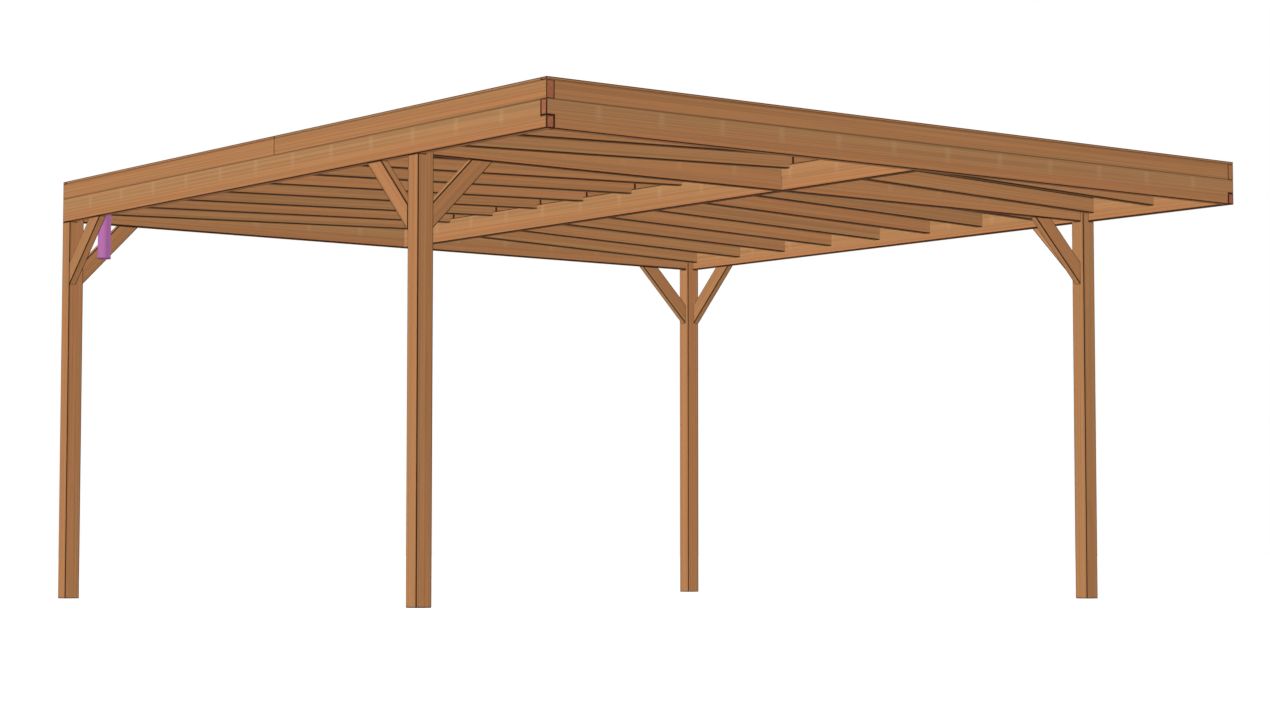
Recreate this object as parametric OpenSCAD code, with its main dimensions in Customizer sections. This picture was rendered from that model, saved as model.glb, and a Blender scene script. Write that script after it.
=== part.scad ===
// Free-standing timber carport with a flat roof. Millimetres, +Z up.
// The origin is on the ground under the middle of the roof: -X is the left side, -Y is the front.
// Pieces are drawn from the roof's front left corner, and the right-hand ones are mirror images.

/* [Roof] */
// Width of the roof over its side faces
roof_width = 4980; // [4000:10:6000]
// Depth of the roof over its front and back faces
roof_depth = 5050; // [4200:10:6100]
// How far the roof reaches out in front of the front posts
front_overhang = 1105; // [700:5:1400]
// Height from the ground to the underside of the beams
clear_height = 2310; // [1900:10:2800]
// Fall of each roof half from the middle to the side, in percent
roof_fall = 3; // [1:0.5:3.5]
// How far the ridge of the roof lies below the top of the edge boards
ridge_cover = 1; // [1:1:30]

/* [Posts and beams] */
// Side of the square posts
post_side = 95; // [75:1:140]
// Thickness of the beams and of the boards and trim on them
beam_thick = 45; // [35:1:60]
// Depth of the beams
beam_depth = 145; // [120:1:200]
// Lower part of their depth that the side beams keep in the front corner laps
corner_lap = 65; // [45:1:90]

/* [Knee braces] */
// Leg of a brace, from the corner of post and beam to its outer edge
brace_leg = 390; // [260:5:600]
// Width of a brace across its face
brace_width = 95; // [60:1:140]
// Thickness of a brace
brace_thick = 45; // [30:1:60]

/* [Joists] */
// Depth of the joists
joist_depth = 95; // [75:1:115]
// Thickness of the joists
joist_thick = 45; // [35:1:60]
// Number of joist bays between the front and the back posts
joist_bays = 8; // [6:1:10]
// Number of joist bays over the front overhang
front_bays = 2; // [1:1:3]
// Gap between the front beam and the first joist
front_gap = 45; // [10:5:100]
// Gap between the left and the right joists on the middle beam
joist_gap = 2; // [1:0.5:10]

/* [Roof edge] */
// Height of the edge boards on the beams
board_height = 90; // [75:1:120]
// Height of the trim on the edge boards
trim_height = 16; // [10:1:30]
// Length of the front piece of each side's edge board
front_board = 2530; // [1500:10:3500]

/* [Roof deck] */
// Thickness of the deck boards
deck_thick = 18; // [12:1:24]
// Thickness of the roof membrane
membrane_thick = 1.5; // [1:0.5:3]

/* [Drain] */
// Outside diameter of the drain pipe
pipe_outer = 80; // [60:1:100]
// Wall of the drain pipe
pipe_wall = 1.8; // [1.5:0.1:4]
// How far the drain pipe hangs below the beams
pipe_drop = 228; // [50:1:500]
// Distance of the drain's axis from the side face of the roof
drain_side = 188; // [150:1:300]
// Gap between the drain pipe and the joist behind it
pipe_gap = 8; // [5:1:40]
// Clearance between the drain pipe and the socket around it
socket_clear = 0.3; // [0.1:0.1:0.5]
// Wall of the roof outlet's socket
socket_wall = 3; // [2:0.5:4]
// Length of the roof outlet's socket
socket_length = 60; // [40:5:90]
// Depth that the drain pipe is pushed into the socket
pipe_insert = 50; // [30:5:80]
// Width of the roof outlet's flange around its socket
flange_width = 50; // [30:5:60]
// Thickness of the roof outlet's flange
flange_thick = 4; // [4:0.5:6]
// Clearance between the socket and the hole in the deck
hole_clear = 1; // [0.5:0.5:5]

/* [Hidden] */
$fn = 96;
wood = "#b48155";
shaded_wood = "#9a6d48";
sides = ["left", "right"];
ends = ["front", "back"];
// Joists, counted from the front
joist_rows = front_bays + joist_bays + 1;
front_pitch = (front_overhang - joist_thick - beam_thick - front_gap) / front_bays;
main_pitch = (roof_depth - post_side - front_overhang) / joist_bays;
// Levels above the ground
beam_top = clear_height + beam_depth;
board_top = beam_top + board_height;
lap_level = clear_height + corner_lap;
half_level = clear_height + beam_depth / 2;
// The roof's cross-section: its slope, its middle and where its two slopes start and end
slope = roof_fall / 100;
middle = roof_width / 2;
inner_face = beam_thick;
ridge_level = board_top - ridge_cover - membrane_thick - deck_thick - joist_depth;
// The posts' slots for the cross and back beams
slot_start = (post_side - beam_thick) / 2;
back_post = roof_depth - post_side;
// The braces' other edge
brace_inner = brace_leg - brace_width * sqrt(2);
// The drain's axis and its radii
drain_back = back_post - joist_thick - pipe_gap - pipe_outer / 2;
socket_inner = pipe_outer / 2 + socket_clear;
socket_outer = socket_inner + socket_wall;
cut = 1;

// Height of the joists' underside at x from the side face, on the left half of the roof
function joist_under(x) = ridge_level - slope * (middle - x);
function joist_top(x) = joist_under(x) + joist_depth;
function deck_top(x) = joist_top(x) + deck_thick;
function membrane_top(x) = deck_top(x) + membrane_thick;
// Front face of each joist row
function joist_front(row) = row <= front_bays
    ? beam_thick + front_gap + (row - 1) * front_pitch
    : front_overhang - joist_thick + (row - 1 - front_bays) * main_pitch;
function post_front(end) = end == "front" ? front_overhang : back_post;

// Moves a piece drawn from the roof's front left corner to its place
module from_corner() translate([-roof_width / 2, -roof_depth / 2, 0]) children();

// Draws a left-hand piece on either side
module on_side(side) {
    if (side == "left") from_corner() children();
    else mirror([1, 0, 0]) from_corner() children();
}

module block(from, to) translate(from) cube(to - from);

// An outline across the roof, in x and z, drawn from one y to another
module across(from, to, outline)
    translate([0, to, 0]) rotate([90, 0, 0]) linear_extrude(to - from) polygon(outline);

// Everything above the joists of the left half, between the edge boards
module over_joists() across(-cut, roof_depth + cut, [
    [inner_face, joist_top(inner_face)],
    [middle, joist_top(middle)],
    [middle, board_top],
    [inner_face, board_top]
]);

// A post, with a rebate for the side beam and a slot for the beam that crosses it
module post(end) color(wood) translate([0, post_front(end), 0]) difference() {
    block([0, 0, 0], [post_side, post_side, beam_top]);
    block([-cut, -cut, clear_height], [beam_thick, post_side + cut, beam_top + cut]);
    block([0, slot_start, clear_height], [post_side + cut, slot_start + beam_thick, beam_top + cut]);
    translate([0, -post_front(end), 0]) over_joists();
}

// A knee brace in the XZ plane, with the corner of post and beam at its origin
module brace() color(shaded_wood) across(0, brace_thick, [
    [0, -brace_leg],
    [brace_leg, 0],
    [brace_inner, 0],
    [0, -brace_inner]
]);

// The brace between a post and the side beam, flush with their outer faces
module side_brace(end) {
    if (end == "front")
        translate([brace_thick, front_overhang + post_side, clear_height]) rotate([0, 0, 90]) brace();
    else
        translate([0, back_post, clear_height]) rotate([0, 0, -90]) brace();
}

// The brace between a post and the beam that crosses it, centred on the post
module cross_brace(end)
    translate([post_side, post_front(end) + (post_side - brace_thick) / 2, clear_height]) brace();

// A side beam keeps its lower part in the corner lap
module side_beam() color(wood) difference() {
    block([0, 0, clear_height], [beam_thick, roof_depth, beam_top]);
    block([-cut, -cut, lap_level], [beam_thick + cut, beam_thick, beam_top + cut]);
}

// The front beam keeps its upper part in both corner laps
module front_beam() color(shaded_wood) from_corner() difference() {
    block([0, 0, clear_height], [roof_width, beam_thick, beam_top]);
    for (x = [0, roof_width - beam_thick])
        block([x - cut, -cut, clear_height - cut], [x + beam_thick + cut, beam_thick + cut, lap_level]);
}

// A beam between the side beams, through the slots of two posts, planed to the roof's slope
module slotted_beam(end) difference() {
    on_side("left") block(
        [beam_thick, post_front(end) + slot_start, clear_height],
        [roof_width - beam_thick, post_front(end) + slot_start + beam_thick, beam_top]
    );
    for (side = sides) on_side(side) over_joists();
}

// The space of the half-lap between the cross beam and the middle beam
module half_lap(from, to) from_corner() block(
    [middle - beam_thick / 2, front_overhang + slot_start, from],
    [middle + beam_thick / 2, front_overhang + slot_start + beam_thick, to]
);

module cross_beam() color(shaded_wood) difference() {
    slotted_beam("front");
    half_lap(half_level, beam_top + cut);
}

module back_beam() color(shaded_wood) slotted_beam("back");

module middle_beam() color(wood) difference() {
    from_corner() block(
        [middle - beam_thick / 2, beam_thick, clear_height],
        [middle + beam_thick / 2, back_post + slot_start, beam_top]
    );
    half_lap(clear_height - cut, half_level);
}

// The left joist of a row: it butts on the side beam and is notched over the middle beam
module joist(row) color(shaded_wood) across(joist_front(row), joist_front(row) + joist_thick, [
    [inner_face, joist_under(inner_face)],
    [middle - beam_thick / 2, joist_under(middle - beam_thick / 2)],
    [middle - beam_thick / 2, beam_top],
    [middle - joist_gap / 2, beam_top],
    [middle - joist_gap / 2, joist_top(middle - joist_gap / 2)],
    [inner_face, joist_top(inner_face)]
]);

module joist_row(row) for (side = sides) on_side(side) joist(row);

// The edge boards stand on the beams: the side ones run to both ends, in two pieces
module side_edge_board(end) color(wood) block(
    [0, end == "front" ? 0 : front_board, beam_top],
    [beam_thick, end == "front" ? front_board : roof_depth, board_top]
);

module end_edge_board(y) color(shaded_wood) from_corner()
    block([beam_thick, y, beam_top], [roof_width - beam_thick, y + beam_thick, board_top]);

// The trim lies on the edge boards: the front and back strips run to both sides
module end_trim(y) color(shaded_wood) from_corner()
    block([0, y, board_top], [roof_width, y + beam_thick, board_top + trim_height]);

module side_trim(end) color(wood) for (side = sides) on_side(side) block(
    [0, end == "front" ? beam_thick : front_board, board_top],
    [beam_thick, end == "front" ? front_board : roof_depth - beam_thick, board_top + trim_height]
);

module drain_hole() translate([drain_side, drain_back, clear_height])
    cylinder(r = socket_outer + hole_clear, h = board_top - clear_height);

// Half of the roof deck, from the side to the ridge
module deck() color(wood) across(beam_thick, roof_depth - beam_thick, [
    [inner_face, joist_top(inner_face)],
    [middle, joist_top(middle)],
    [middle, deck_top(middle)],
    [inner_face, deck_top(inner_face)]
]);

module deck_left() difference() {
    on_side("left") deck();
    on_side("left") drain_hole();
}

module deck_right() on_side("right") deck();

// The room over the deck, inset from the edge boards and raised from the deck
module over_deck(inset, raise, top) from_corner() across(beam_thick + inset, roof_depth - beam_thick - inset, [
    [inner_face + inset, deck_top(inner_face + inset) + raise],
    [middle, deck_top(middle) + raise],
    [roof_width - inner_face - inset, deck_top(inner_face + inset) + raise],
    [roof_width - inner_face - inset, top],
    [inner_face + inset, top]
]);

// The membrane covers the deck and turns up against the edge boards
module membrane() color("#2b2b2d") difference() {
    over_deck(0, 0, board_top);
    over_deck(membrane_thick, membrane_thick, board_top + cut);
    on_side("left") drain_hole();
}

// The outlet's flange lies on the membrane, and its socket hangs plumb through the deck
module roof_outlet() color("#a55f9c") on_side("left")
    translate([drain_side, drain_back, membrane_top(drain_side)]) difference() {
        union() {
            rotate([0, -atan(slope), 0]) cylinder(r = socket_outer + flange_width, h = flange_thick);
            translate([0, 0, -socket_length]) cylinder(r = socket_outer, h = socket_length + flange_thick / 2);
        }
        translate([0, 0, -socket_length - cut]) cylinder(r = socket_inner, h = socket_length + 2 * flange_thick);
    }

module drain_pipe() color("#b672ad") on_side("left")
    translate([drain_side, drain_back, clear_height - pipe_drop]) difference() {
        pipe_length = membrane_top(drain_side) - socket_length + pipe_insert - clear_height + pipe_drop;
        cylinder(d = pipe_outer, h = pipe_length);
        translate([0, 0, -cut]) cylinder(d = pipe_outer - 2 * pipe_wall, h = pipe_length + 2 * cut);
    }

for (end = ends, side = sides) {
    on_side(side) post(end);
    on_side(side) side_brace(end);
    on_side(side) cross_brace(end);
    on_side(side) side_edge_board(end);
}
for (side = sides)
    on_side(side) side_beam();
for (row = [1 : joist_rows])
    joist_row(row);
for (end = ends)
    side_trim(end);
front_beam();
cross_beam();
back_beam();
middle_beam();
end_edge_board(0);  // edge_board_front
end_edge_board(roof_depth - beam_thick);  // edge_board_back
end_trim(0);  // trim_front
end_trim(roof_depth - beam_thick);  // trim_back
deck_left();
deck_right();
membrane();
roof_outlet();
drain_pipe();
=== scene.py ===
# Looks of the timber carport: planed timber, screws, tongue and groove deck, drain and roof sheet.
import math
import random

import bmesh
import bpy
from mathutils import Matrix, Vector, noise


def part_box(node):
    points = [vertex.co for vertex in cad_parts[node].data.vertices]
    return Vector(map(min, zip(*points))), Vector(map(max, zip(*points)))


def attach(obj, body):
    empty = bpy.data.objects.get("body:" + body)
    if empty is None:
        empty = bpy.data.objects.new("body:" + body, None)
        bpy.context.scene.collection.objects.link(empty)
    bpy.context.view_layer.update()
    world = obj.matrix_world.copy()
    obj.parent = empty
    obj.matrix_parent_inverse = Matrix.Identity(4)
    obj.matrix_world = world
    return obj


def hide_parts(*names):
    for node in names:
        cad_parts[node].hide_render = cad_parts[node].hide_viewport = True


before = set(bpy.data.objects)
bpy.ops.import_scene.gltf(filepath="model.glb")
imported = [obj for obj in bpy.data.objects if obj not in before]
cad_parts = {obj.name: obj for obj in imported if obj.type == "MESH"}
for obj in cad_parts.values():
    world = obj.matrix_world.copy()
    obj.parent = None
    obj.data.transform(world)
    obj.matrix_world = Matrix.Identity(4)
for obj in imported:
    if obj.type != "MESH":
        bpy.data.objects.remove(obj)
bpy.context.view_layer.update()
scene = bpy.context.scene
print("frame loaded:", len(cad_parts), "pieces")


# Shader maths: a wire is one socket of a finish, and sums on wires add Math nodes.
class Wire:
    def __init__(self, finish, socket):
        self.finish = finish
        self.socket = socket

    def maths(self, operation, *values):
        return self.finish.node("Math", {"operation": operation}, dict(enumerate(values)))

    def __add__(self, other):
        return self.maths("ADD", self, other)

    def __sub__(self, other):
        return self.maths("SUBTRACT", self, other)

    def __rsub__(self, other):
        return self.maths("SUBTRACT", other, self)

    def __mul__(self, other):
        return self.maths("MULTIPLY", self, other)

    def __truediv__(self, other):
        return self.maths("DIVIDE", self, other)

    def __pow__(self, other):
        return self.maths("POWER", self, other)

    __radd__ = __add__
    __rmul__ = __mul__

    def fraction(self):
        return self.maths("FRACT", self)

    def size(self):
        return self.maths("ABSOLUTE", self)

    def rise(self, low, high):  # 0 up to low, 1 from high on, smooth in between
        inputs = {"Value": self, "From Min": low, "From Max": high}
        return self.finish.node("MapRange", {"interpolation_type": "SMOOTHSTEP"}, inputs)


class Finish:
    def __init__(self, name):
        self.material = bpy.data.materials.new(name)
        self.material.use_nodes = True
        self.tree = self.material.node_tree
        self.tree.nodes.clear()

    def node(self, kind, settings=None, inputs=None, output=0):
        made = self.tree.nodes.new("ShaderNode" + kind)
        for name, value in (settings or {}).items():
            setattr(made, name, value)
        for name, value in (inputs or {}).items():
            if isinstance(value, Wire):
                self.tree.links.new(value.socket, made.inputs[name])
            else:
                made.inputs[name].default_value = value
        return Wire(self, made.outputs[output]) if made.outputs else None

    def attribute(self, name, output="Fac"):
        return self.node("Attribute", {"attribute_name": name}, output=output)

    def place(self):
        return self.node("TexCoord", output="Object")

    def stretch(self, vector, factors):
        return self.node("VectorMath", {"operation": "MULTIPLY"}, {0: vector, 1: factors})

    def split(self, vector):
        return [self.node("SeparateXYZ", None, {0: vector}, axis) for axis in "XYZ"]

    def reach(self, x, y):  # distance from the origin across the grain
        flat = self.node("CombineXYZ", None, {"X": x, "Y": y, "Z": 0.0})
        return self.node("VectorMath", {"operation": "LENGTH"}, {0: flat}, "Value")

    def noise(self, vector, detail=2.0, roughness=0.5):
        inputs = {"Vector": vector, "Scale": 1.0, "Detail": detail, "Roughness": roughness}
        return self.node("TexNoise", None, inputs, 0)

    def mix(self, share, first, second, blend="MIX"):
        settings = {"data_type": "RGBA", "blend_type": blend}
        return self.node("Mix", settings, {0: share, 6: first, 7: second}, 2)

    def shade(self, tone, factor):  # a tone times a number that changes over the surface
        grey = self.node("CombineColor", None, {0: factor, 1: factor, 2: factor})
        return self.mix(1.0, tone, grey, "MULTIPLY")

    def bump(self, height, distance):
        return self.node("Bump", None, {"Height": height, "Distance": distance})

    def close(self, inputs):
        shader = self.node("BsdfPrincipled", None, inputs)
        self.node("OutputMaterial", None, {"Surface": shader})
        return self.material


def tone(red, green, blue):
    return (red, green, blue, 1.0)


# Timber: planed softwood with a warm oil stain. The attributes grain and section place each
# member's own pattern, and board, cutEnd and arris tell its shade, its end grain and its edges.
timber = {
    "orange": tone(0.407, 0.170, 0.067),
    "olive": tone(0.363, 0.193, 0.082),
    "end": tone(0.350, 0.120, 0.058),
    "arris": tone(0.022, 0.010, 0.005),
    "mark": tone(0.430, 0.275, 0.140),
    "ringGap": 0.0075,     # metres between growth rings
    "ringWander": 0.03,
    "taper": 0.004,        # drift of the rings along a member
    "lineDepth": 0.19,     # how dark the fine grain lines are
    "ringDepth": 0.07,     # how dark the late wood is
    "markGap": 0.392,      # spacing of the pale sticker marks
    "markWidth": 0.032,    # half the width of a mark, with its soft edge
    "boardShift": 0.15,    # how far the hue changes from board to board
    "roughness": 0.66,
    "gloss": 0.12,
    "bump": 0.0004,
}


# The share under sets the painted shade on the underside of each member.
def timberFinish(name, warmth=0.5, depth=1.0, fade=0.0, marks=0.0, under=0.15):
    finish = Finish(name)
    grain = finish.attribute("grain", "Vector")
    section = finish.attribute("section", "Vector")
    board = finish.attribute("board")
    cutEnd = finish.attribute("cutEnd")
    arris = finish.attribute("arris")
    along, across, up = finish.split(grain)
    station, side, height = finish.split(section)

    streak = finish.noise(finish.stretch(grain, (0.35, 62.0, 62.0)), 3.0, 0.6)
    line = finish.noise(finish.stretch(grain, (0.3, 120.0, 120.0)), 2.0, 0.6)
    fibre = finish.noise(finish.stretch(grain, (10.0, 1400.0, 1400.0)), 2.0)
    wander = finish.noise(finish.stretch(grain, (0.9, 7.0, 7.0)), 1.0)
    radius = finish.reach(across, up) + wander * timber["ringWander"] + along * timber["taper"]
    ring = (radius / timber["ringGap"]).fraction()
    lateWood = ring ** 3.0

    hue = (streak - 0.5) * 1.5 + warmth + (board - 0.5) * timber["boardShift"] - height * fade
    body = finish.mix(hue.rise(0.0, 1.0), timber["olive"], timber["orange"])
    dark = 1.0 - line.rise(0.4, 0.62) * timber["lineDepth"] - lateWood * timber["ringDepth"]
    body = finish.shade(body, dark * (depth * 0.94) + board * 0.06 + fibre * 0.05)
    if marks:
        gap = timber["markGap"]
        beat = ((station / gap + 0.5).fraction() - 0.5).size() * gap
        mark = beat.rise(timber["markWidth"], 0.0) * height.rise(-0.25, 0.15) * height.rise(0.5, 0.38)
        body = finish.mix(mark * marks, body, timber["mark"])
    # Painted shade: the foot of each member's section, its underside and lower arrises, darkened by the
    # share under.
    body = finish.shade(body, 1.0 - height.rise(-0.455, -0.495) * under)

    checks = finish.noise(finish.stretch(grain, (40.0, 60.0, 60.0)), 4.0, 0.7)
    speck = finish.noise(finish.stretch(grain, (10.0, 110.0, 110.0)), 2.0, 0.6)
    endRings = 0.95 - lateWood * 0.25 - checks.rise(0.6, 0.75) * 0.3 + (speck - 0.5) * 0.9
    endBody = finish.shade(timber["end"], endRings)
    body = finish.mix(cutEnd, body, endBody)
    worn = finish.noise(finish.stretch(grain, (3.0, 40.0, 40.0)), 2.0)
    body = finish.mix(arris * (worn * 0.2 + 0.9), body, timber["arris"])

    roughness = timber["roughness"] + (line - 0.5) * 0.25 + cutEnd * 0.15
    relief = fibre * 0.6 + line * 0.5 - lateWood * 0.4
    return finish.close({
        "Base Color": body,
        "Roughness": roughness,
        "Normal": finish.bump(relief, timber["bump"]),
        "Specular IOR Level": timber["gloss"],
    })


# Painted underside shade by finish: none on posts, 0.15 on beamWood, braces, edges and deck, 0.6 on
# shadedBeamWood, 0.5 on joistWood.
postWood = timberFinish("postWood", warmth=0.55, under=0.0)
beamWood = timberFinish("beamWood", warmth=0.42, fade=0.6, marks=0.3, under=0.15)
shadedBeamWood = timberFinish("shadedBeamWood", warmth=0.42, fade=0.6, marks=0.3, under=0.6)
joistWood = timberFinish("joistWood", warmth=0.55, under=0.5)
braceWood = timberFinish("braceWood", warmth=0.55)
edgeWood = timberFinish("edgeWood", warmth=0.6)
deckWood = timberFinish("deckWood", warmth=0.4, depth=1.05)
print("timber finishes mixed")


def islands(shape):  # the separate solids of a bmesh, as lists of vertices
    left, found = set(shape.verts), []
    for first in shape.verts:
        if first not in left:
            continue
        left.discard(first)
        group, edge = [first], [first]
        while edge:
            near = [e.other_vert(v) for v in edge for e in v.link_edges]
            edge = [v for v in dict.fromkeys(near) if v in left]
            left.difference_update(edge)
            group += edge
        found.append(group)
    return found


def grainDirection(group):  # a member's grain runs along its longest edge
    sides = [e for v in group for e in v.link_edges]
    longest = max(sides, key=lambda e: round(e.calc_length(), 5))
    way = (longest.verts[1].co - longest.verts[0].co).normalized()
    return way if way[max(range(3), key=lambda i: abs(way[i]))] > 0 else -way


def layGrain(shape, way, group, dice, firstMark=0.0, endTone=1.0):
    grain = shape.verts.layers.float_vector["grain"]
    section = shape.verts.layers.float_vector["section"]
    board = shape.verts.layers.float["board"]
    cutEnd = shape.faces.layers.float["cutEnd"]
    level = Vector((0, 0, 1)) if abs(way.z) < 0.9 else Vector((0, 1, 0))
    side = way.cross(level).normalized()
    rise = side.cross(way).normalized()
    places = [Vector((v.co.dot(way), v.co.dot(side), v.co.dot(rise))) for v in group]
    low = Vector([min(p[i] for p in places) for i in range(3)])
    high = Vector([max(p[i] for p in places) for i in range(3)])
    middle = (low + high) / 2
    pith = Vector((dice.uniform(-40, 40), dice.uniform(-0.05, 0.05), -dice.uniform(0.06, 0.14)))
    shade = dice.random()
    for v, p in zip(group, places):
        v[grain] = p - middle + pith
        v[section] = (
            p.x - low.x - firstMark,
            (p.y - middle.y) / (high.y - low.y),
            (p.z - middle.z) / (high.z - low.z),
        )
        v[board] = shade
    for face in {f for v in group for f in v.link_faces}:
        face[cutEnd] = endTone if abs(face.normal.dot(way)) > 0.9 else 0.0


def addLayers(shape):
    shape.verts.layers.float_vector.new("grain")
    shape.verts.layers.float_vector.new("section")
    shape.verts.layers.float.new("board")
    shape.faces.layers.float.new("cutEnd")
    shape.faces.layers.float.new("arris")


# Edges: rounded arrises, with a dark line along them on each face.
edges = {
    "sharp": math.radians(20),
    "segments": 2,
    "ringShade": 0.8,      # how dark the line on a face is, beside the arris itself
    "butt": 0.015,         # the joists' inner ends keep their line this near the ridge
    "notch": 0.03,         # reach of the joists' notches from the ridge
    "upper": 0.8,          # parts of a member's height that count as its top and its foot
    "lower": 0.2,
}


def easeArrises(shape, width, line):
    arris = shape.faces.layers.float["arris"]
    sharp = [e for e in shape.edges if e.is_convex and e.calc_face_angle(0) > edges["sharp"]]
    made = bmesh.ops.bevel(
        shape, geom=sharp, affect="EDGES", offset=width, offset_type="OFFSET",
        segments=edges["segments"], profile=0.5, material=-1, clamp_overlap=True,
    )
    for face in made["faces"]:
        face[arris] = 1.0
    flats = [f for f in shape.faces if not f[arris] and f.calc_area() > f.calc_perimeter() * line]
    ring = bmesh.ops.inset_individual(
        shape, faces=flats, thickness=line, depth=0.0, use_even_offset=True,
    )
    for face in ring["faces"]:
        face[arris] = edges["ringShade"]


def makePiece(name, shape, material, replaced=()):
    mesh = bpy.data.meshes.new(name)
    shape.to_mesh(mesh)
    shape.free()
    mesh.materials.append(material)
    piece = bpy.data.objects.new(name, mesh)
    piece.visible_diffuse = False
    scene.collection.objects.link(piece)
    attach(piece, "root")
    if replaced:
        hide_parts(*replaced)
    return piece


def pieceName(node):
    first, *rest = node.split("_")
    return first + "".join(word.capitalize() for word in rest)


def mergedCopy(node):
    shape = bmesh.new()
    shape.from_mesh(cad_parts[node].data)
    bmesh.ops.remove_doubles(shape, verts=shape.verts, dist=0.00002)
    bmesh.ops.dissolve_limit(
        shape, angle_limit=math.radians(0.2), verts=shape.verts, edges=shape.edges,
    )
    return shape


def cutHoles(shape, places, radius, height, steps):  # plumb round holes, centred on the places
    mesh = bpy.data.meshes.new("blank")
    shape.to_mesh(mesh)
    shape.free()
    drill = bmesh.new()
    for place in places:
        bmesh.ops.create_cone(
            drill, cap_ends=True, segments=steps, radius1=radius, radius2=radius, depth=height,
            matrix=Matrix.Translation(place),
        )
    drillMesh = bpy.data.meshes.new("drill")
    drill.to_mesh(drillMesh)
    drill.free()
    blank = bpy.data.objects.new("blank", mesh)
    bits = bpy.data.objects.new("bits", drillMesh)
    for piece in (blank, bits):
        scene.collection.objects.link(piece)
    cut = blank.modifiers.new("holes", "BOOLEAN")
    cut.operation = "DIFFERENCE"
    cut.solver = "EXACT"
    cut.object = bits
    shape = bmesh.new()
    shape.from_object(blank, bpy.context.evaluated_depsgraph_get())
    for piece in (blank, bits):
        bpy.data.objects.remove(piece)
    for spare in (mesh, drillMesh):
        bpy.data.meshes.remove(spare)
    return shape


# Screws: countersunk heads in the trim, pan heads on the long edges of the braces.
screws = {
    "tone": tone(0.17, 0.125, 0.07),
    "radius": 0.0038,
    "crown": 0.82,         # the head narrows to this share of its radius
    "drive": 0.4,          # width of the flat round the drive, as a share of the radius
    "proud": 0.0009,
    "recess": 0.0006,
    "hole": 0.0046,
    "holeSteps": 24,
    "sunk": 0.0012,        # depth of a trim screw's head below the surface
    "gap": 0.6,            # between screws along the trim
    "margin": 0.07,        # from a trim's end to its first screw
    "steps": (0.035, 0.065),  # from a brace's ends, along its long edge
}
heads = []                 # place and outward direction of each screw


def trimScrews(low, high):
    axis = 0 if high.x - low.x > high.y - low.y else 1
    first, last = low[axis] + screws["margin"], high[axis] - screws["margin"]
    count = max(1, round((last - first) / screws["gap"]))
    places = []
    for i in range(count + 1):
        place = (low + high) / 2
        place[axis] = first + (last - first) * i / count
        place.z = high.z
        places.append(place)
        heads.append((place - Vector((0, 0, screws["sunk"])), Vector((0, 0, 1))))
    return places


def braceScrews(low, high):
    axis = 0 if high.x - low.x > high.y - low.y else 1
    inward = Vector((0, 0, 0))
    inward[axis] = -1 if low[axis] + high[axis] > 0 else 1
    rise = Vector((0, 0, 1))
    foot = (low + high) / 2
    foot[axis] = low[axis] if inward[axis] > 0 else high[axis]
    foot.z = low.z
    length = (high[axis] - low[axis]) * math.sqrt(2)
    along, outward = (inward + rise).normalized(), (inward - rise).normalized()
    for step in screws["steps"]:
        heads.append((foot + along * step, outward))
        heads.append((foot + along * (length - step), outward))


def groupBox(group):
    corners = [v.co for v in group]
    return [Vector([pick(c[i] for c in corners) for i in range(3)]) for pick in (min, max)]


def softenLines(shape, ways, look):  # fades the arris lines where the timbers meet closely
    edge = shape.faces.layers.float["arris"]
    for way, group in zip(ways, islands(shape)):
        low, high = groupBox(group)
        for face in {f for v in group for f in v.link_faces if f[edge]}:
            side = max(face.edges, key=lambda e: e.calc_length())
            middle = face.calc_center_median()
            if abs((side.verts[0].co - side.verts[1].co).normalized().dot(way)) < 0.5:
                if abs(middle.x) > edges["butt"]:
                    face[edge] *= look.get("ends", 1.0)
            elif abs(middle.x) < edges["notch"] and "notch" in look:
                face[edge] *= look["notch"]
            elif abs(way.z) < 0.5:
                height = (middle.z - low.z) / (high.z - low.z)
                if height > edges["upper"]:
                    face[edge] *= look.get("top", 1.0)
                elif height < edges["lower"]:
                    face[edge] *= look.get("foot", 1.0)


def dressTimber(node, material, slot, look):
    shape = mergedCopy(node)
    addLayers(shape)
    ways = [grainDirection(group) for group in islands(shape)]
    boxes = [groupBox(group) for group in islands(shape)]
    easeArrises(shape, look["arris"], look["line"])
    softenLines(shape, ways, look)
    if "trim" in node:
        places = [place for box in boxes for place in trimScrews(*box)]
        depth = screws["sunk"] + screws["proud"]
        shape = cutHoles(shape, places, screws["hole"], 2 * depth, screws["holeSteps"])
    if "brace" in node:
        for box in boxes:
            braceScrews(*box)
    chance = random.Random(node)
    for way, group in zip(ways, islands(shape)):
        layGrain(shape, way, group, chance, look.get("firstMark", 0.0), look.get("endTone", 1.0))
    return makePiece(pieceName(node), shape, material, [node])


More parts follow.
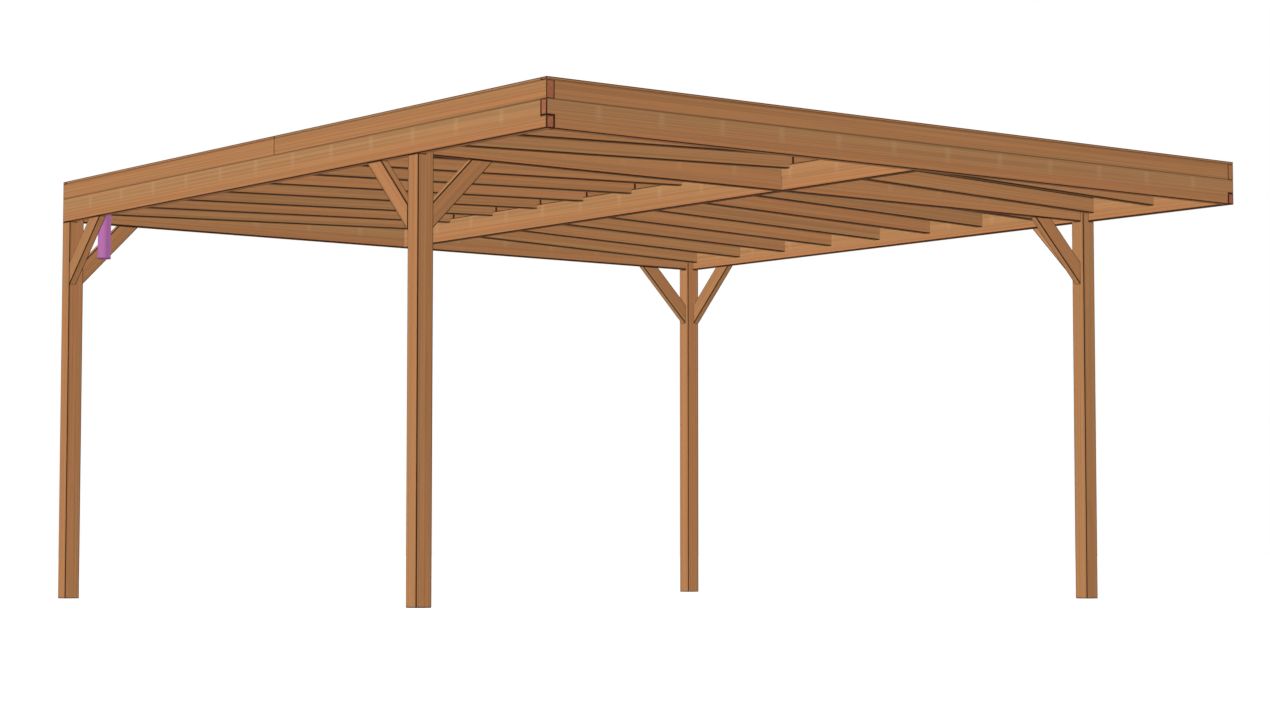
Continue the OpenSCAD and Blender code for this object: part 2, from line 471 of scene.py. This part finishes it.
# Each kind of member: its finish, its slot, and its look in metres and shares. Ends, notch, top
# and foot fade the lines there, firstMark places the pale marks, endTone weakens the end grain.
members = {
    "post": (postWood, "post_wood", {"arris": 0.003, "line": 0.0025}),
    "side_brace": (braceWood, "brace_wood", {"arris": 0.003, "line": 0.003}),
    "cross_brace": (braceWood, "brace_wood", {"arris": 0.003, "line": 0.003}),
    "side_beam_right": (shadedBeamWood, "beam_wood", {
        "arris": 0.003, "line": 0.004, "top": 0.5, "firstMark": 0.374,
    }),
    "side_beam": (beamWood, "beam_wood", {
        "arris": 0.003, "line": 0.003, "top": 0.5, "firstMark": 0.374,
    }),
    "front_beam": (beamWood, "beam_wood", {
        "arris": 0.003, "line": 0.0025, "top": 0.5, "firstMark": 0.313,
    }),
    "cross_beam": (shadedBeamWood, "beam_wood", {
        "arris": 0.003, "line": 0.0025, "ends": 0.1, "firstMark": 0.114,
    }),
    "back_beam": (shadedBeamWood, "beam_wood", {
        "arris": 0.004, "line": 0.004, "ends": 0.1, "firstMark": 0.114,
    }),
    "middle_beam": (shadedBeamWood, "beam_wood", {
        "arris": 0.003, "line": 0.0025, "ends": 0.1, "firstMark": 0.233,
    }),
    "joist_row": (joistWood, "joist_wood", {
        "arris": 0.0035, "line": 0.003, "ends": 0.1, "notch": 0.15,
    }),
    "edge_board_right_front": (edgeWood, "edge_wood", {
        "arris": 0.002, "line": 0.0015, "foot": 0.4, "top": 0.4, "endTone": 0.3,
    }),
    "edge_board": (edgeWood, "edge_wood", {"arris": 0.002, "line": 0.0015, "foot": 0.4, "top": 0.4}),
    "trim": (edgeWood, "edge_wood", {"arris": 0.0025, "line": 0.0025, "foot": 0.3}),
    "side_trim": (edgeWood, "edge_wood", {"arris": 0.0025, "line": 0.0025, "foot": 0.3}),
}
for node in sorted(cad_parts):
    kind = next((k for k in members if node == k or node.startswith(k + "_")), None)
    if kind:
        dressTimber(node, *members[kind])
print("timbers dressed")


# Deck: tongue and groove boards along the carport, with a V joint below.
deck = {
    "cover": 0.12225,      # width from joint to joint
    "joint": 0.0006,
    "vee": 0.004,
    "veeShade": 0.6,
    "thick": 0.018,
    "holeRadius": 0.0443,
    "holeSteps": 64,
    "holeDepth": 0.5,      # long enough to pass the sloping deck and sheet
}


def roofFall(node):  # height of a node's top face at the ridge, and its fall to the side
    low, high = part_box(node)
    return high.z, (high.z - low.z - deck["thick"]) / (high.x - low.x)


def layDeck(node):
    low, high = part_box(node)
    top, fall = roofFall(node)
    thick = deck["thick"]
    toRidge = 1 if high.x < 0.01 else -1
    count = round((high.x - low.x) / deck["cover"])
    pitch = (high.x - low.x) / count
    shape = bmesh.new()
    for i in range(count):
        middle = Vector((low.x + (i + 0.5) * pitch, (low.y + high.y) / 2, top - thick / 2))
        size = Matrix.Diagonal((pitch - deck["joint"], high.y - low.y, thick, 1.0))
        board = bmesh.ops.create_cube(shape, size=1.0, matrix=Matrix.Translation(middle) @ size)
        under = {
            e for v in board["verts"] for e in v.link_edges
            if all(w.co.z < middle.z for w in e.verts) and abs(e.verts[0].co.x - e.verts[1].co.x) < 0.01
        }
        bmesh.ops.bevel(
            shape, geom=sorted(under, key=lambda e: e.index), affect="EDGES", offset=deck["vee"],
            offset_type="OFFSET", segments=1, profile=0.5, material=-1,
        )
    slant = Matrix.Identity(4)
    slant[2][0] = fall * toRidge
    bmesh.ops.transform(shape, matrix=slant, verts=shape.verts)
    axis = drainAxis()
    if low.x < axis.x < high.x:
        shape = drainHole(shape, top)
    addLayers(shape)
    arris = shape.faces.layers.float["arris"]
    chance = random.Random(node)
    for group in islands(shape):
        layGrain(shape, Vector((0, 1, 0)), group, chance)
    for face in shape.faces:
        if 0.3 < abs(face.normal.z) < 0.9:
            face[arris] = deck["veeShade"]
    return makePiece(pieceName(node) + "Boards", shape, deckWood, [node])


def drainAxis():
    low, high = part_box("drain_pipe")
    return Vector(((low.x + high.x) / 2, (low.y + high.y) / 2, low.z))


def drainHole(shape, level):
    axis = drainAxis()
    place = Vector((axis.x, axis.y, level))
    return cutHoles(shape, [place], deck["holeRadius"], deck["holeDepth"], deck["holeSteps"])


layDeck("deck_left")
layDeck("deck_right")
print("deck laid")


# Drain: an extruded pipe in the socket of a moulded outlet.
drain = {
    "tone": tone(0.325, 0.112, 0.287),
    # rim is the dark tone of the line round the pipe's foot, and also of the painted shade in its bore.
    "rim": tone(0.04, 0.006, 0.035),
    "rimHeight": 0.004,
    "rimShade": 0.85,
    # boreShade: painted shade, how far the faces inside the bore are darkened
    "boreShade": 0.5,
    "wall": 0.0018,
    "lip": 0.0005,
    "steps": 72,
    "bore": 0.0403,        # inside of the outlet's socket
    "socket": 0.0433,
    "socketLength": 0.060,
    "flange": 0.0933,
    "flangeThick": 0.004,
    "sheetThick": 0.0015,  # roof sheet under the flange
    "round": 0.0015,
}


def drainFinish():
    finish = Finish("drainPlastic")
    place = finish.place()
    draw = finish.noise(finish.stretch(place, (900.0, 900.0, 4.0)), 2.0)
    dust = finish.noise(finish.stretch(place, (30.0, 30.0, 12.0)), 4.0, 0.6)
    # The arris attribute marks the dark line at the pipe's foot and the painted shade in its bore.
    edge = finish.attribute("arris")
    body = finish.shade(drain["tone"], 0.95 + draw * 0.06 + dust * 0.06)
    return finish.close({
        "Base Color": finish.mix(edge, body, drain["rim"]),
        "Roughness": 0.5 + dust * 0.2,
        "Normal": finish.bump(draw, 0.00008),
        "Specular IOR Level": 0.15,
    })


def turned(profile, axis, steps):  # a closed outline of radius and height, spun round a plumb axis
    shape = bmesh.new()
    ring = [shape.verts.new((axis.x + r, axis.y, z)) for r, z in profile]
    sides = [shape.edges.new((a, b)) for a, b in zip(ring, ring[1:] + ring[:1])]
    bmesh.ops.spin(
        shape, geom=ring + sides, cent=axis, axis=(0, 0, 1), angle=math.tau, steps=steps,
        use_merge=True,
    )
    bmesh.ops.remove_doubles(shape, verts=shape.verts, dist=0.00001)
    bmesh.ops.recalc_face_normals(shape, faces=shape.faces)
    shape.faces.layers.float.new("arris")
    return shape


def makePipe():
    axis = drainAxis()
    low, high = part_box("drain_pipe")
    outer = (high.x - low.x) / 2
    inner = outer - drain["wall"]
    lip = drain["lip"]
    profile = [
        (inner + lip, low.z), (outer - lip, low.z), (outer, low.z + lip),
        (outer, low.z + drain["rimHeight"]), (outer, high.z - lip),
        (outer - lip, high.z), (inner + lip, high.z), (inner, high.z - lip), (inner, low.z + lip),
    ]
    shape = turned(profile, axis, drain["steps"])
    arris = shape.faces.layers.float["arris"]
    for face in shape.faces:
        face.smooth = True
        place = face.calc_center_median()
        if place.z < low.z + drain["rimHeight"]:
            face[arris] = drain["rimShade"]
        # Painted shade: the faces inside the bore are darkened.
        elif (place - axis).xy.length < inner + lip:
            face[arris] = drain["boreShade"]
    return makePiece("drainPipe", shape, drainPlastic, ["drain_pipe"])


def makeOutlet():
    axis = drainAxis()
    top, fall = roofFall("deck_left")
    seat = top + fall * axis.x + drain["sheetThick"]
    soft = drain["round"]
    flangeTop = seat + drain["flangeThick"]
    profile = [
        (drain["bore"], seat - drain["socketLength"]),
        (drain["socket"], seat - drain["socketLength"]),
        (drain["socket"], seat),
        (drain["flange"], seat),
        (drain["flange"], flangeTop - soft),
        (drain["flange"] - soft, flangeTop),
        (drain["bore"] + 2 * soft, flangeTop),
        (drain["bore"], flangeTop - 2 * soft),
    ]
    shape = turned(profile, axis, drain["steps"])
    for v in shape.verts:
        if v.co.z > seat - 0.01:
            v.co.z += fall * (v.co.x - axis.x)
    return makePiece("roofOutlet", shape, drainPlastic, ["roof_outlet"])


drainPlastic = drainFinish()
makePipe()
makeOutlet()
print("drain fitted")


# Roof sheet: black rubber, turned up against the edge boards and pleated in the corners.
sheet = {
    "tone": tone(0.026, 0.026, 0.028),
    "dust": tone(0.085, 0.082, 0.076),
    "thick": 0.0015,
    "cove": 0.014,         # radius where the sheet turns up
    "cell": 0.06,
    "wave": 0.0008,
    "calm": 0.2,           # the waves fade this near the upstand
    "pleat": 0.065,
    "pleatThick": 0.003,
    "pleatGap": 0.002,
    "pleatDrop": 0.058,
}


def sheetFinish():
    finish = Finish("rubberSheet")
    place = finish.place()
    cloud = finish.noise(finish.stretch(place, (1.1, 1.1, 1.0)), 6.0, 0.6)
    run = finish.noise(finish.stretch(place, (0.8, 9.0, 1.0)), 4.0, 0.6)
    speck = finish.noise(finish.stretch(place, (170.0, 170.0, 170.0)), 2.0)
    crease = finish.noise(finish.stretch(place, (5.0, 3.0, 5.0)), 3.0, 0.5)
    x, y, z = finish.split(place)
    axis = drainAxis()
    puddle = finish.reach(x - axis.x, y - axis.y) + (cloud - 0.5) * 0.35
    dregs = puddle.rise(0.5, 0.12) + puddle.rise(0.52, 0.47) * puddle.rise(0.42, 0.46) * 0.5
    lowSide = x.size().rise(1.2, 2.44)
    dust = (cloud * 0.5 + run * 0.5).rise(0.44, 0.66) * (lowSide * 0.4 + 0.25) + dregs * 0.35
    joint = ((x / deck["cover"]).fraction() - 0.5).size().rise(0.47, 0.5)
    body = finish.mix(dust, sheet["tone"], sheet["dust"])
    return finish.close({
        "Base Color": finish.shade(body, 0.85 + speck * 0.3),
        "Roughness": 0.6 + dust * 0.25 + speck * 0.08,
        "Normal": finish.bump(crease * 0.9 + speck * 0.06 + joint * 0.12, 0.003),
        "Specular IOR Level": 0.3,
    })


def stations(low, high, cove, cell):  # places across the sheet, close together in the coves
    curve = [cove * (1 - math.sin(math.radians(a))) for a in (90, 65, 40, 20, 0)]
    count = round((high - low - 2 * cove) / cell)
    flat = [low + cove + (high - low - 2 * cove) * i / count for i in range(1, count)]
    return [low + d for d in curve] + flat + [high - d for d in reversed(curve)]


def coveRise(distance, height):
    radius = min(sheet["cove"], height / 2)
    return radius - math.sqrt(radius ** 2 - (radius - min(distance, radius)) ** 2)


def laySheet():
    low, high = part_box("membrane")
    top, fall = roofFall("deck_left")
    thick = sheet["thick"]
    side, front, back, rim = high.x - thick, low.y + thick, high.y - thick, high.z
    shape = bmesh.new()
    rows = []
    for x in stations(-side, side, sheet["cove"], sheet["cell"]):
        row = []
        for y in stations(front, back, sheet["cove"], sheet["cell"]):
            level = top + thick - fall * abs(x)
            toSide, toEnd = side - abs(x), min(y - front, back - y)
            rise = max(coveRise(toSide, rim - level), coveRise(toEnd, rim - level))
            calm = min(1.0, min(toSide, toEnd) / sheet["calm"])
            wave = sheet["wave"] * calm * (0.5 + 0.5 * noise.noise((x * 1.7, y * 3.1, 4.0)))
            row.append(shape.verts.new((x, y, level + rise + wave)))
        rows.append(row)
    for row, after in zip(rows, rows[1:]):
        for i in range(len(row) - 1):
            shape.faces.new((row[i], after[i], after[i + 1], row[i + 1]))
    border = [e for e in shape.edges if e.is_boundary]
    wall = bmesh.ops.extrude_edge_only(shape, edges=border)
    for v in wall["geom"]:
        if isinstance(v, bmesh.types.BMVert):
            v.co.z = rim
    bmesh.ops.recalc_face_normals(shape, faces=shape.faces)
    shape.faces.ensure_lookup_table()
    if shape.faces[0].normal.z < 0:
        bmesh.ops.reverse_faces(shape, faces=shape.faces)
    bmesh.ops.solidify(shape, geom=shape.faces, thickness=thick)
    for corner in ((1, 1), (1, -1), (-1, 1), (-1, -1)):
        addPleat(shape, corner, side, (front, back), rim)
    for face in shape.faces:
        face.smooth = True
    for edge in shape.edges:
        edge.smooth = edge.calc_face_angle(0) < math.radians(35)
    shape = drainHole(shape, top)
    return makePiece("roofSheet", shape, rubberSheet, ["membrane"])


def addPleat(shape, corner, side, ends, rim):  # the folded corner, laid on the side upstand
    x = corner[0] * side
    y = ends[1] if corner[1] > 0 else ends[0]
    gap, reach, deep = sheet["pleatGap"], sheet["pleat"], sheet["pleatThick"]
    outline = [(gap, rim - gap), (reach, rim - gap), (gap, rim - sheet["pleatDrop"])]
    near = [shape.verts.new((x, y - corner[1] * a, z)) for a, z in outline]
    far = [shape.verts.new((x - corner[0] * deep, y - corner[1] * a, z)) for a, z in outline]
    made = [shape.faces.new(near), shape.faces.new(far[::-1])]
    for i in range(3):
        j = (i + 1) % 3
        made.append(shape.faces.new((near[i], far[i], far[j], near[j])))
    bmesh.ops.recalc_face_normals(shape, faces=made)


rubberSheet = sheetFinish()
laySheet()
print("roof sheet laid")


# Screw heads, set in the holes drilled in the trim and on the long edges of the braces.
def screwFinish():
    finish = Finish("bronzedSteel")
    place = finish.place()
    cloud = finish.noise(finish.stretch(place, (420.0, 420.0, 420.0)), 3.0, 0.6)
    scratch = finish.noise(finish.stretch(place, (2500.0, 300.0, 2500.0)), 2.0)
    return finish.close({
        "Base Color": finish.shade(screws["tone"], 0.6 + cloud * 0.8),
        "Roughness": 0.35 + cloud * 0.3,
        "Metallic": 0.35 + cloud * 0.3,
        "Normal": finish.bump(scratch, 0.00005),
    })


def makeScrews():
    shape = bmesh.new()
    radius, proud = screws["radius"], screws["proud"]
    for place, outward in heads:
        turn = outward.to_track_quat("Z", "Y").to_matrix().to_4x4()
        made = bmesh.ops.create_cone(
            shape, cap_ends=True, segments=16, radius1=radius,
            radius2=radius * screws["crown"], depth=2 * proud, matrix=Matrix.Translation(place) @ turn,
        )
        faces = {f for v in made["verts"] for f in v.link_faces}
        cap = max(faces, key=lambda f: (f.calc_center_median() - place).dot(outward))
        bmesh.ops.inset_region(shape, faces=[cap], thickness=radius * screws["drive"])
        bmesh.ops.inset_region(shape, faces=[cap], thickness=radius * 0.05, depth=-screws["recess"])
    return makePiece("screwHeads", shape, screwFinish())


makeScrews()
print("screws set:", len(heads))


# Camera, floor and light.
view = {
    "place": (-10.583, -13.5904, 0.2781),
    "turn": 37.9538,       # degrees to the right of +Y
    "tilt": 3.8753,        # degrees above level
    "lens": 81.7035,
    "sensor": 36.0,
}
camera = bpy.data.objects.new("camera", bpy.data.cameras.new("camera"))
scene.collection.objects.link(camera)
camera.location = view["place"]
camera.rotation_euler = (math.radians(90 + view["tilt"]), 0, -math.radians(view["turn"]))
camera.data.lens = view["lens"]
camera.data.sensor_width = view["sensor"]
camera.data.clip_end = 500
scene.camera = camera

studio = {
    "floorSize": 300.0,
    "floorGlow": 0.55,
    "air": 0.16,           # light from all round
    "lamps": {             # direction of travel and strength
        "leftLamp": ((1.0, 0.0, 0.0), 1.10),
        "frontLamp": ((0.0, 1.0, 0.0), 0.71),
        "rightLamp": ((-1.0, 0.0, 0.0), 0.5),
        "backLamp": ((0.0, -1.0, 0.0), 0.62),
        "topLamp": ((0.0, 0.0, -1.0), 0.36),
        "underLamp": ((0.0, 0.0, 1.0), 0.4),
    },
}


def makeFloor():
    shape = bmesh.new()
    bmesh.ops.create_grid(shape, x_segments=1, y_segments=1, size=studio["floorSize"] / 2)
    mesh = bpy.data.meshes.new("floor")
    shape.to_mesh(mesh)
    shape.free()
    finish = Finish("paleFloor")
    mesh.materials.append(finish.close({
        "Base Color": tone(0.85, 0.85, 0.85),
        "Roughness": 0.95,
        "Specular IOR Level": 0.0,
        "Emission Color": tone(1.0, 1.0, 1.0),
        "Emission Strength": studio["floorGlow"],
    }))
    floor = bpy.data.objects.new("floor", mesh)
    scene.collection.objects.link(floor)
    floor.visible_diffuse = False
    floor.visible_glossy = False


def makeLamps():
    for name, (way, strength) in studio["lamps"].items():
        lamp = bpy.data.objects.new(name, bpy.data.lights.new(name, "SUN"))
        lamp.data.energy = strength * math.pi
        lamp.data.angle = math.radians(20)
        lamp.data.use_shadow = False
        lamp.visible_glossy = False
        lamp.rotation_euler = Vector(way).to_track_quat("-Z", "Y").to_euler()
        scene.collection.objects.link(lamp)


def makeAir():  # white to the eye, and a low even light on the timber
    world = bpy.data.worlds.new("air")
    world.use_nodes = True
    tree = world.node_tree
    tree.nodes.clear()
    seen = tree.nodes.new("ShaderNodeLightPath")
    level = tree.nodes.new("ShaderNodeMapRange")
    level.inputs["To Min"].default_value = studio["air"]
    level.inputs["To Max"].default_value = 1.0
    glow = tree.nodes.new("ShaderNodeBackground")
    last = tree.nodes.new("ShaderNodeOutputWorld")
    tree.links.new(seen.outputs["Is Camera Ray"], level.inputs["Value"])
    tree.links.new(level.outputs[0], glow.inputs["Strength"])
    tree.links.new(glow.outputs[0], last.inputs["Surface"])
    glow.inputs["Color"].default_value = tone(1.0, 1.0, 1.0)
    scene.world = world


makeFloor()
makeLamps()
makeAir()
scene.view_settings.view_transform = "Standard"
print("camera, floor and light set")
